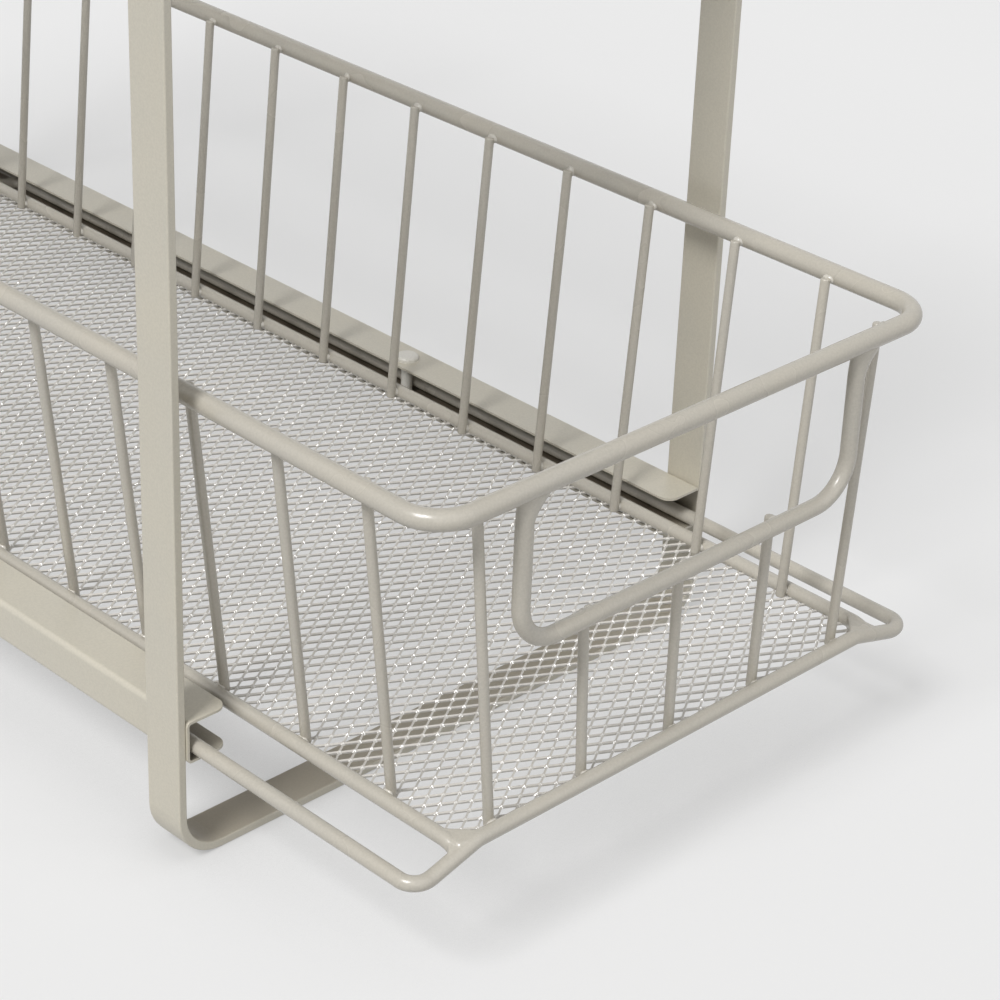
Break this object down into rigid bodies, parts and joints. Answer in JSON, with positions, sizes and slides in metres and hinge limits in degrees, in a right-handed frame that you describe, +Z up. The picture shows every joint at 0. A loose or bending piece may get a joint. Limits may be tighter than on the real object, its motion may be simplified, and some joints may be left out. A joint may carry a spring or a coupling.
{
  "type": "under sink organizer",
  "caption": "Two-tier under sink rack: strip hoops carry channel rails on which wire baskets with mesh floors and pull handles slide out.",
  "frame": {"origin": "on the floor, under the middle of the front hoop's bottom strip", "axes": "+X to the right seen from the front, +Y from the front to the back along the rails, +Z up"},
  "size_m": [0.215, 0.5343, 0.385],
  "materials": {
    "frame_finish": "satin powder coat, light greige",
    "wire_finish": "satin powder coat, light greige",
    "mesh_finish": "satin powder coat on expanded metal",
    "pin_finish": "satin powder coat, light greige"
  },
  "bodies": {
    "frame": {"front_hoop": "frame_finish", "rear_hoop": "frame_finish", "lower_left_rail": "frame_finish", "lower_right_rail": "frame_finish", "upper_left_rail": "frame_finish", "upper_right_rail": "frame_finish", "lower_left_stop_pin": "pin_finish", "lower_right_stop_pin": "pin_finish", "upper_left_stop_pin": "pin_finish", "upper_right_stop_pin": "pin_finish"},
    "lower_basket": {"lower_runner_loop": "wire_finish", "lower_rim_wire": "wire_finish", "lower_handle_wire": "wire_finish", "lower_mesh_floor": "mesh_finish", "lower_left_base_wire": "wire_finish", "lower_right_base_wire": "wire_finish", "lower_left_upright_wires": "wire_finish", "lower_right_upright_wires": "wire_finish", "lower_front_upright_wires": "wire_finish", "lower_rear_upright_wires": "wire_finish"},
    "upper_basket": {"upper_runner_loop": "wire_finish", "upper_rim_wire": "wire_finish", "upper_handle_wire": "wire_finish", "upper_mesh_floor": "mesh_finish", "upper_left_base_wire": "wire_finish", "upper_right_base_wire": "wire_finish", "upper_left_upright_wires": "wire_finish", "upper_right_upright_wires": "wire_finish", "upper_front_upright_wires": "wire_finish", "upper_rear_upright_wires": "wire_finish"}
  },
  "joints": [
    {"name": "lower_basket_slide", "type": "slide", "parent": "frame", "child": "lower_basket", "axis": [0, 1, 0], "range_m": [-0.225, 0.082]},
    {"name": "upper_basket_slide", "type": "slide", "parent": "frame", "child": "upper_basket", "axis": [0, 1, 0], "range_m": [-0.307, 0]}
  ]
}
